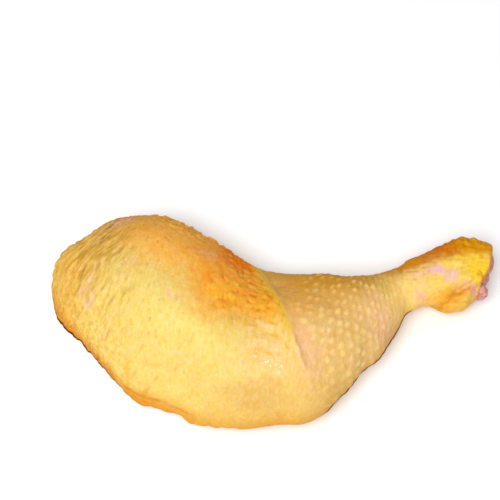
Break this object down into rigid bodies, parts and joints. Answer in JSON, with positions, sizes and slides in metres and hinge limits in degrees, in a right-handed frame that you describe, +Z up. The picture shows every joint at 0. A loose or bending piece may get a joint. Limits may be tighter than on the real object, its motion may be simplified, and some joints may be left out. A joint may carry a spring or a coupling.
{
  "type": "raw chicken leg quarter",
  "caption": "Raw chicken leg quarter, thigh and drumstick in one bent piece with yellow skin, cut across the hock and along the hip, lying skin side up.",
  "frame": {"origin": "middle of the leg's footprint, on the surface it lies on", "axes": "+X from the hip end to the cut hock, +Y to the far side, where the back of the knee is, +Z up through the skin side"},
  "size_m": [0.2351, 0.1204, 0.0414],
  "materials": {
    "skin": "moist yellow poultry skin with follicles, orange behind the knee and at the hock",
    "meat": "moist dark red-pink muscle",
    "cartilage": "smooth wet pink-white cartilage",
    "tendon": "wet pink tendon end"
  },
  "bodies": {
    "root": {"skin": "skin", "meat": "meat", "joint_cartilage": "cartilage", "tendon_stub": "tendon"}
  },
  "joints": []
}
